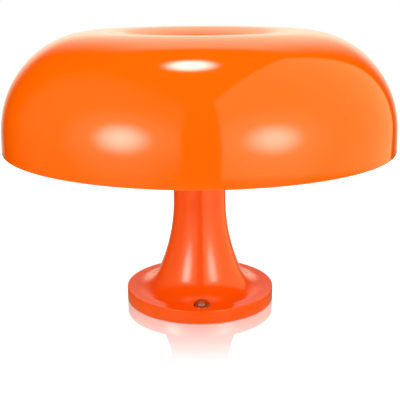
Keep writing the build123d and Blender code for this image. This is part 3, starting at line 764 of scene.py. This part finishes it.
def new_finish(slot, name, colours, polish, cloud, grain, relief, stretch=(1, 1, 1), **fixed):
    """A finish for a slot, from two hex colours, the least and most roughness, and three real lengths in mm.

    The lengths are the size of a cloud, the size of a grain and its height. What is fixed is even all over.
    """
    material = bpy.data.materials.new(name)
    material.use_nodes = True
    finishes[slot] = material
    tree = material.node_tree
    tree.nodes.clear()
    on_object = add(tree, "TexCoord").outputs["Object"]
    place = add(tree, "Mapping", {"Vector": on_object, "Scale": stretch}).outputs[0]
    clouds = add(tree, "TexNoise", {"Vector": place, "Scale": 1 / (cloud * MM), "Detail": 3.0})
    colour = {0: clouds.outputs[0], 6: linear(colours[0]), 7: linear(colours[1])}
    blend = add(tree, "Mix", colour, data_type="RGBA")
    fine = add(tree, "TexNoise", {"Vector": place, "Scale": 1 / (grain * MM), "Detail": 6.0})
    sheen = add(tree, "MapRange", {"Value": fine.outputs[0], "To Min": polish[0], "To Max": polish[1]})
    bump = add(tree, "Bump", {"Height": fine.outputs[0], "Distance": relief * MM, "Strength": 1.0})
    surface = {"Base Color": blend.outputs[2], "Roughness": sheen.outputs[0], "Normal": bump.outputs[0]}
    shader = add(tree, "BsdfPrincipled", surface)
    for socket, value in fixed.items():
        shader.inputs[socket.replace("_", " ")].default_value = value
    add(tree, "OutputMaterial", {"Surface": shader.outputs[0]})
    print(name, "from", " to ".join(colours), "roughness", polish, fixed)
    return tree, shader, place


# %% [markdown]
# ### Mouldings
#
# The shade, the base and the knob are polycarbonate, injected into polished moulds. The eye sees a deep
# even orange with mirror-sharp reflections that swim a little, because a mould that large is never quite
# flat, and a faint haze of handling. The shade's orange is drawn the yellower one: light through its thin
# wall is painted into its colour, since its finish lets no light through.

# %% Polycarbonate mouldings
moulded = {"cloud": 70, "grain": 9, "relief": 0.004, "IOR": 1.58}
mouldings = {
    # The shade's colours hold painted light: they are drawn yellower to stand for light through its thin wall.
    "shade": (("#ff6000", "#ff6400"), (0.05, 0.09)),
    "base": (("#ff5900", "#ff5d00"), (0.11, 0.17)),
    "knob": (("#fb5a00", "#ff6000"), (0.07, 0.14)),
}
for moulding, (colours, polish) in mouldings.items():
    new_finish(f"{moulding}_polycarbonate", f"orange_polycarbonate_{moulding}", colours, polish, **moulded)

# %% [markdown]
# ### Opal and clear plastics
#
# The cover is opal acrylic with a satin skin: milky, a little translucent, with blurred reflections. The
# light pipe is clear acrylic, cut and polished. The ring under the dish is milky silicone, soft and a
# little greasy.

# %% Opal acrylic, clear acrylic and silicone
clear_plastics = [
    (1.49, 0.15, "opal_acrylic", "opal_acrylic_satin", ("#f1efe8", "#f7f6f1"), (0.32, 0.42), 40, 0.7, 0.006),
    (1.49, 1.0, "clear_acrylic", "clear_acrylic_polished", ("#f2f5f4", "#ffffff"), (0.02, 0.08), 5, 0.5, 0.001),
    (1.41, 0.3, "clear_silicone", "milky_silicone", ("#d9d9d2", "#e6e5df"), (0.35, 0.5), 6, 0.4, 0.01),
]
for ior, clearness, *recipe in clear_plastics:
    new_finish(*recipe, IOR=ior, Transmission_Weight=clearness)

# %% [markdown]
# ### Dark and pale technical plastics
#
# The bottom cover and the switch are black ABS from a spark-eroded mould, which leaves a fine matt grain.
# The battery's frame and the connectors are the same plastic without pigment, the colour of cream. The foot
# and the wire's ring are rubber, darker and duller, and the wires have a smooth white jacket. The battery's
# blue film is shrunk on with hot air, which leaves it glossy, with long shallow waves along the cells.

# %% ABS, rubber, wire and film
dense_plastics = [
    (1.53, "black_abs", "black_abs_spark_grain", ("#161617", "#1e1e1f"), (0.45, 0.65), 25, 0.5, 0.02),
    (1.53, "natural_abs", "cream_abs_moulded", ("#d8d3c2", "#e0dccd"), (0.38, 0.5), 20, 0.6, 0.012),
    (1.52, "black_rubber", "black_rubber_moulded", ("#101010", "#1a1a1a"), (0.7, 0.9), 8, 0.35, 0.03),
    (1.5, "wire_jacket", "white_wire_jacket", ("#dedcd4", "#e8e6df"), (0.4, 0.5), 12, 0.4, 0.006),
]
for ior, *recipe in dense_plastics:
    new_finish(*recipe, IOR=ior)
film = {"stretch": (1, 1, 0.25), "IOR": 1.54, "Coat_Weight": 0.4}
new_finish("shrink_film", "blue_shrink_film", ("#17498f", "#1f5cab"), (0.12, 0.3), 10, 2.5, 0.05, **film)

# %% [markdown]
# ### Metals
#
# Metals keep the default IOR, because their reflection comes from their colour. The button is zinc, die
# cast, polished and chromed, so it mirrors the room. Its colour is drawn darker than bright chrome, which
# paints shade into its reflections. The screws and washers are steel with
# a thin zinc plate, which is satin and shows blue and straw patches. The weights are plain sawn steel with
# an oiled skin. A stretch of the pattern gives the sawn, rolled, drawn and stamped ones their grain along
# one way.

# %% Chrome, zinc plate, plain steel and nickel
metals = [
    # The chrome's colours are drawn darker than bright chrome: painted shade in its reflections.
    ("chromed_zinc", "chromed_zinc_polished", ("#acaeb2", "#b4b6b9"), (0.03, 0.07), 6, 0.8, 0.0008),
    ("zinc_plated_steel", "zinc_plated_steel", ("#b9c0cc", "#cfcab8"), (0.22, 0.38), 3, 0.3, 0.004),
    ("raw_steel", "oiled_sawn_steel", ("#4a4a4d", "#6a6867"), (0.35, 0.55), 9, 0.6, 0.02, (1, 1, 6)),
    ("nickel_strip", "rolled_nickel_strip", ("#bcb6aa", "#c9c4ba"), (0.25, 0.4), 4, 0.3, 0.004, (0.2, 3, 1)),
    ("cell_can", "drawn_steel_can", ("#9a9da4", "#b0b2b6"), (0.22, 0.34), 12, 0.5, 0.003, (2, 2, 0.1)),
    ("steel_socket", "stamped_plated_steel", ("#aeb0b4", "#bfc0c3"), (0.2, 0.34), 3, 0.25, 0.003, (1, 0.2, 1)),
]
for recipe in metals:
    new_finish(*recipe, Metallic=1.0)

# %% [markdown]
# ### Lacquer and turned metals
#
# The dish that carries the lights is aluminium, lacquered white: the lacquer dries with a fine orange peel.
# The post is aluminium off the lathe, and the knob's insert is turned brass. The lathe's feed leaves rings
# about a tenth of a millimetre apart. That is too fine to show, so the rings are drawn four times as
# coarse.

# %% White lacquer on aluminium
lacquer = ("#e9e9e4", "#f0f0ec")
new_finish("white_lacquered_aluminium", "white_lacquer", lacquer, (0.25, 0.36), 30, 1.2, 0.01, IOR=1.5)

# %% Aluminium and brass with lathe rings
ring_spacing, ring_relief = 0.4, 0.004


def wave_scale(spacing):
    """The scale that spaces a pattern's waves by so many mm. At scale 1, 20 waves take up tau metres."""
    return math.tau / (20 * spacing * MM)


turned_metals = {
    "turned_aluminium": ("aluminium_off_the_lathe", ("#c9cbcd", "#d6d7d8")),
    "brass": ("brass_off_the_lathe", ("#c79a4c", "#d8b066")),
}
for slot, (name, colours) in turned_metals.items():
    tree, shader, place = new_finish(slot, name, colours, (0.18, 0.3), 8, 0.4, 0.002, Metallic=1.0)
    rings = add(tree, "TexWave", {"Vector": place, "Scale": wave_scale(ring_spacing)}, bands_direction="Z")
    ridges = {"Height": rings.outputs["Fac"], "Distance": ring_relief * MM, "Strength": 1.0}
    cut_rings = add(tree, "Bump", ridges)
    tree.links.new(shader.inputs["Normal"].links[0].from_socket, cut_rings.inputs["Normal"])
    tree.links.new(cut_rings.outputs[0], shader.inputs["Normal"])

# %% [markdown]
# ### Boards and lights
#
# A circuit board is glass cloth in resin under a coloured mask, so its weave shows faintly through the
# gloss. A brick pattern stands for the copper tracks under the green mask. The lights are small blocks of
# yellow gel.

# %% Circuit boards and light chips
weave_spacing, weave_relief, track_spacing = 0.8, 0.01, 3.0
black, white = (0, 0, 0, 1), (1, 1, 1, 1)
boards = {
    "green_board": ("green_masked_board", ("#0f4a26", "#145a30"), "#1f7a44"),
    "white_board": ("white_masked_board", ("#e6e5df", "#efeeea"), "#dcdad2"),
}
for slot, (name, colours, track_colour) in boards.items():
    tree, shader, place = new_finish(slot, name, colours, (0.22, 0.34), 15, 0.5, 0.002, IOR=1.52)
    tracks = {"Vector": place, "Scale": 1 / (track_spacing * MM), "Mortar Size": 0.06}
    copper = add(tree, "TexBrick", {**tracks, "Color1": black, "Color2": black, "Mortar": white})
    ground = shader.inputs["Base Color"].links[0].from_socket
    mask = {0: copper.outputs["Color"], 6: ground, 7: linear(track_colour)}
    masked = add(tree, "Mix", mask, data_type="RGBA")
    tree.links.new(masked.outputs[2], shader.inputs["Base Color"])
    thread = {"Vector": place, "Scale": wave_scale(weave_spacing)}
    warp, weft = [add(tree, "TexWave", thread, bands_direction=way).outputs["Fac"] for way in ("X", "Y")]
    cloth = add(tree, "Math", {0: warp, 1: weft}, operation="MULTIPLY")
    woven = add(tree, "Bump", {"Height": cloth.outputs[0], "Distance": weave_relief * MM, "Strength": 1.0})
    tree.links.new(woven.outputs[0], shader.inputs["Normal"])
new_finish("light_chip", "yellow_phosphor_gel", ("#e8c24f", "#f2d67a"), (0.3, 0.5), 2, 0.3, 0.01, IOR=1.41)

# %% Give every solid and every new piece its finish
for part in frame["record"]["subparts"]:
    frame["nodes"][part["node"]].material_slots[0].material = finishes[part["material_slot"]]
new_pieces = [shade, base, button, knob, cover, *screws]
for piece in new_pieces:
    piece.data.materials.clear()
    piece.data.materials.append(finishes[piece["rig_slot"]])
print("finishes:", len(finishes), "on", len(frame["nodes"]), "nodes and", len(new_pieces), "new pieces")
